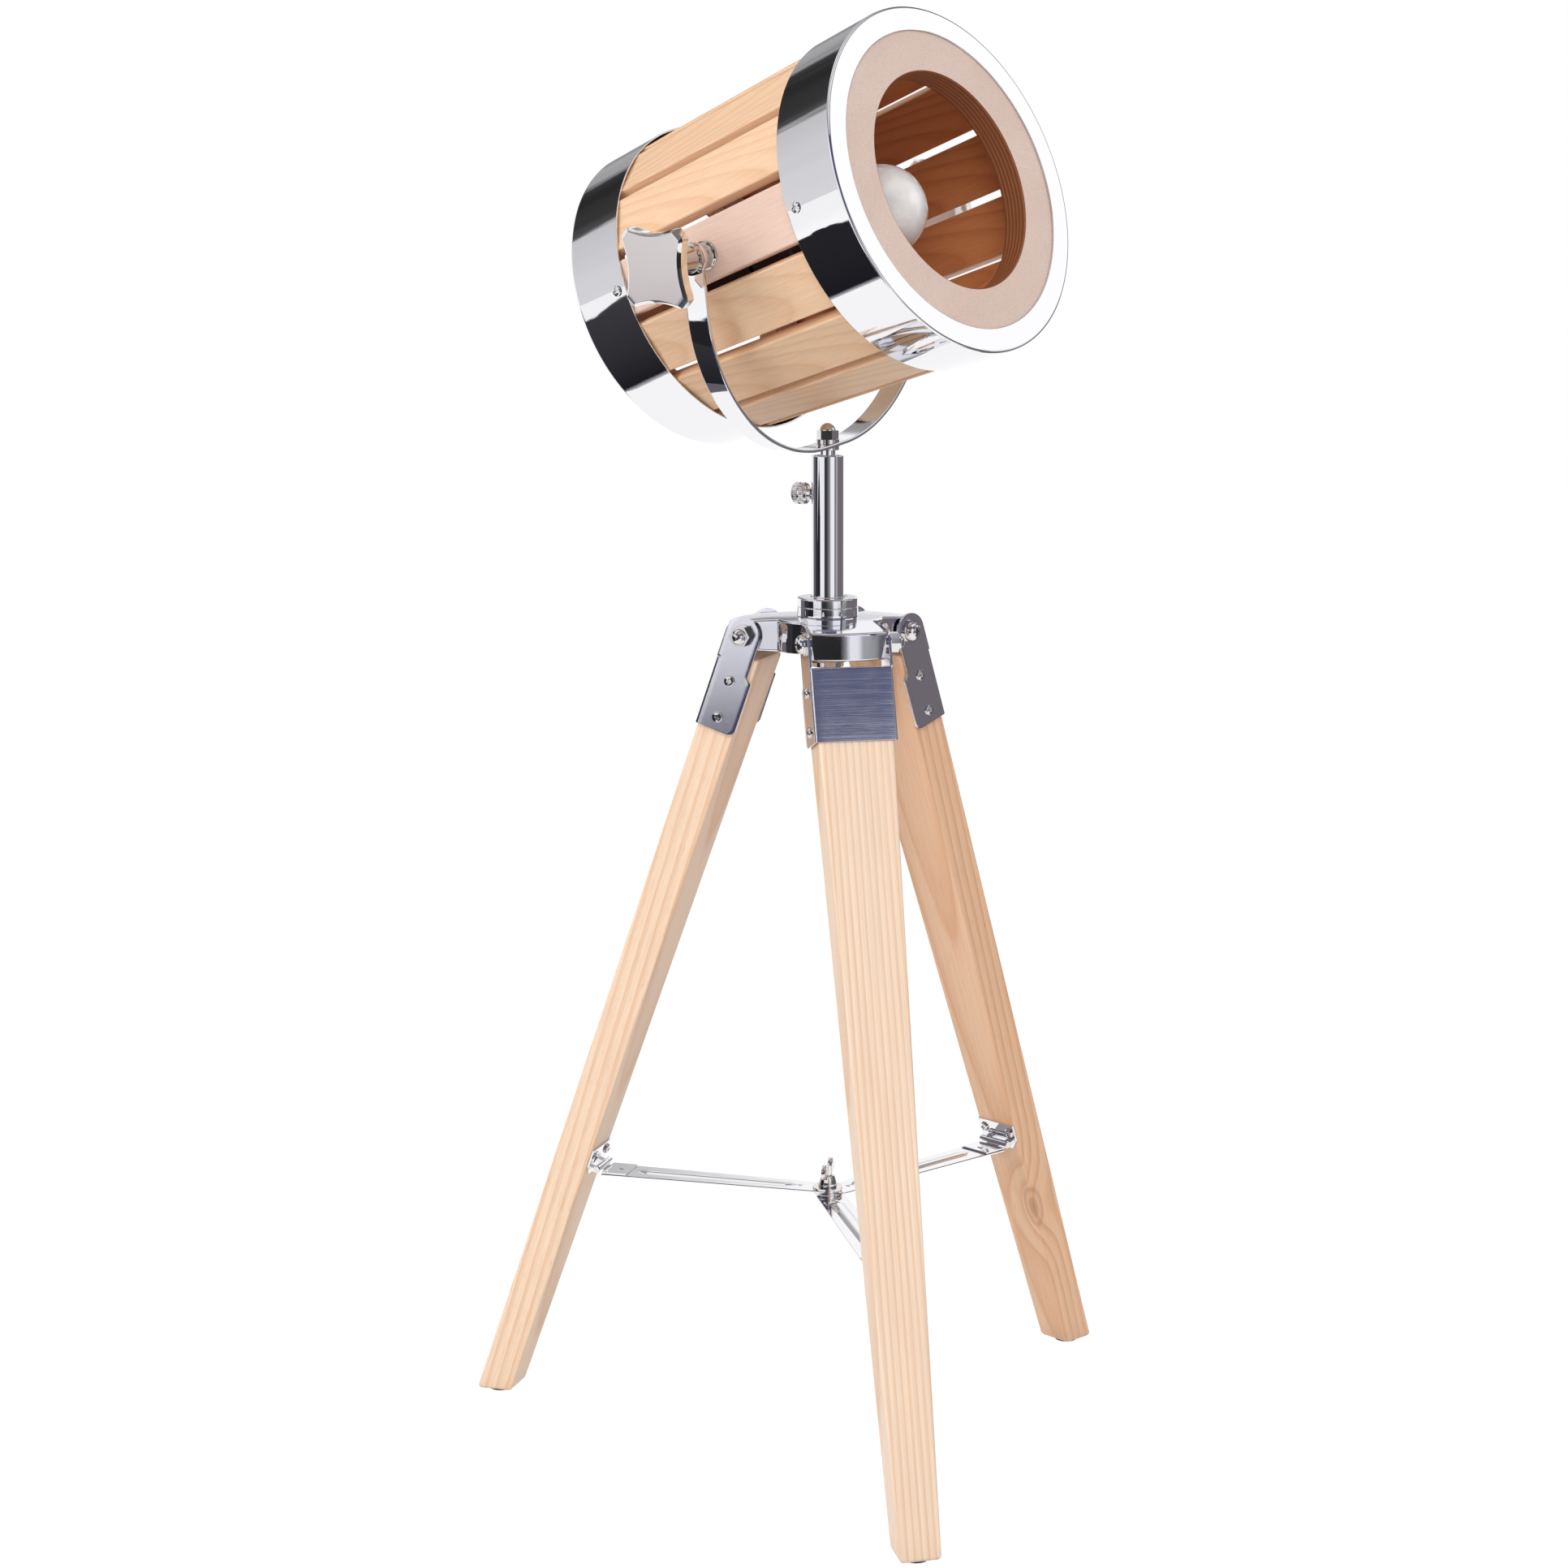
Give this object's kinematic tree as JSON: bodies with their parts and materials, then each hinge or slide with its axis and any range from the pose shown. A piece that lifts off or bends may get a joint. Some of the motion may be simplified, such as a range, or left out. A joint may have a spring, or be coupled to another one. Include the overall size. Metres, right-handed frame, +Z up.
{
  "type": "tripod spotlight floor lamp",
  "caption": "Spotlight floor lamp: a slatted wooden barrel with chrome bands, held in a steel yoke on a short chrome stem and folding wooden tripod legs.",
  "frame": {"origin": "on the floor under the stem, midway between the three feet", "axes": "+Z up along the stem; the spotlight points towards -Y and a little upwards; X runs across the yoke"},
  "size_m": [0.4489, 0.4666, 0.9875],
  "materials": {
    "chrome": "polished",
    "brushed_steel": "brushed",
    "nickel": "polished",
    "knob_metal": "satin",
    "pine": "satin",
    "plywood": "matt",
    "rubber": "matt",
    "black_plastic": "matt",
    "contact_brass": "polished",
    "opal_glass": "gloss"
  },
  "bodies": {
    "hub": {"hub": "chrome", "hub_locknut": "nickel", "collar": "chrome", "stem_tube": "chrome", "leg_bolts": "nickel", "leg_nuts": "nickel", "leg_washers": "nickel"},
    "leg_front": {"leg_front": "pine", "bracket_front": "brushed_steel", "screws_front": "nickel", "pad_front": "rubber", "hinge_plate_front": "chrome", "hinge_pin_front": "nickel"},
    "leg_left": {"leg_left": "pine", "bracket_left": "brushed_steel", "screws_left": "nickel", "pad_left": "rubber", "hinge_plate_left": "chrome", "hinge_pin_left": "nickel"},
    "leg_right": {"leg_right": "pine", "bracket_right": "brushed_steel", "screws_right": "nickel", "pad_right": "rubber", "hinge_plate_right": "chrome", "hinge_pin_right": "nickel"},
    "strap_front": {"brace_front": "chrome", "brace_leaf_front": "chrome"},
    "strap_left": {"brace_left": "chrome", "brace_leaf_left": "chrome", "spreader_bolt": "nickel", "spreader_washers": "nickel"},
    "strap_right": {"brace_right": "chrome", "brace_leaf_right": "chrome"},
    "wing_nut": {"wing_nut": "nickel"},
    "mast": {"mast": "chrome", "yoke_nut": "nickel"},
    "thumb_screw": {"thumb_screw": "nickel"},
    "yoke": {"yoke": "chrome", "yoke_washers": "nickel"},
    "head": {"slats": "pine", "pivot_slats": "plywood", "front_ring": "plywood", "back_ring": "plywood", "front_band": "chrome", "back_band": "chrome", "band_screws": "nickel", "pivot_bushes": "nickel", "pivot_spacers": "chrome", "lamp_bar": "pine", "bar_screws": "nickel", "holder_cup": "black_plastic", "lampholder": "black_plastic", "holder_contact": "contact_brass", "bulb_cap": "nickel", "bulb_globe": "opal_glass", "cord_gland": "black_plastic"},
    "knob_near": {"knob_near": "knob_metal"},
    "knob_far": {"knob_far": "knob_metal"}
  },
  "joints": [
    {"name": "leg_front_fold", "type": "hinge", "parent": "hub", "child": "leg_front", "pos_m": [-0.03326, -0.04049, 0.57], "axis": [0.7727, -0.6347, 0], "range_deg": [0, 15]},
    {"name": "leg_left_fold", "type": "hinge", "parent": "hub", "child": "leg_left", "pos_m": [-0.01844, 0.04905, 0.57], "axis": [-0.9361, -0.3518, 0], "range_deg": [0, 15]},
    {"name": "leg_right_fold", "type": "hinge", "parent": "hub", "child": "leg_right", "pos_m": [0.0517, -0.00856, 0.57], "axis": [0.1633, 0.9866, 0], "range_deg": [0, 15]},
    {"name": "strap_front_hinge", "type": "hinge", "parent": "leg_front", "child": "strap_front", "pos_m": [-0.10837, -0.13193, 0.1736], "axis": [0.7727, -0.6347, 0], "range_deg": [-105, 0]},
    {"name": "strap_left_hinge", "type": "hinge", "parent": "leg_left", "child": "strap_left", "pos_m": [-0.05968, 0.15878, 0.1767], "axis": [-0.9361, -0.3518, 0], "range_deg": [0, 63]},
    {"name": "strap_right_hinge", "type": "hinge", "parent": "leg_right", "child": "strap_right", "pos_m": [0.16844, -0.02789, 0.1736], "axis": [0.1633, 0.9866, 0], "range_deg": [-105, 0]},
    {"name": "wing_nut_turn", "type": "hinge", "parent": "strap_left", "child": "wing_nut", "pos_m": [0, 0, 0.178], "axis": [0, 0, 1], "continuous": true},
    {"name": "mast_slide", "type": "slide", "parent": "hub", "child": "mast", "axis": [0, 0, 1], "range_m": [0, 0.08]},
    {"name": "thumb_screw_turn", "type": "hinge", "parent": "hub", "child": "thumb_screw", "pos_m": [0, 0, 0.666], "axis": [-0.2079, 0.9781, 0], "continuous": true},
    {"name": "yoke_pan", "type": "hinge", "parent": "mast", "child": "yoke", "pos_m": [0, 0, 0.6989], "axis": [0, 0, 1], "range_deg": [-170, 170]},
    {"name": "head_tilt", "type": "hinge", "parent": "yoke", "child": "head", "pos_m": [-0.02231, 0, 0.8447], "axis": [-0.9885, 0, -0.1513], "range_deg": [-36, 5]},
    {"name": "knob_near_turn", "type": "hinge", "parent": "head", "child": "knob_near", "pos_m": [-0.17553, 0, 0.82126], "axis": [-0.9885, 0, -0.1513], "continuous": true},
    {"name": "knob_far_turn", "type": "hinge", "parent": "head", "child": "knob_far", "pos_m": [0.13091, 0, 0.86815], "axis": [0.9885, 0, 0.1513], "continuous": true}
  ],
  "couplings": [
    {"joint": "strap_front_hinge", "follows": "leg_front_fold", "ratio": -7},
    {"joint": "strap_left_hinge", "follows": "leg_left_fold", "ratio": 4.2},
    {"joint": "strap_right_hinge", "follows": "leg_right_fold", "ratio": -7}
  ]
}
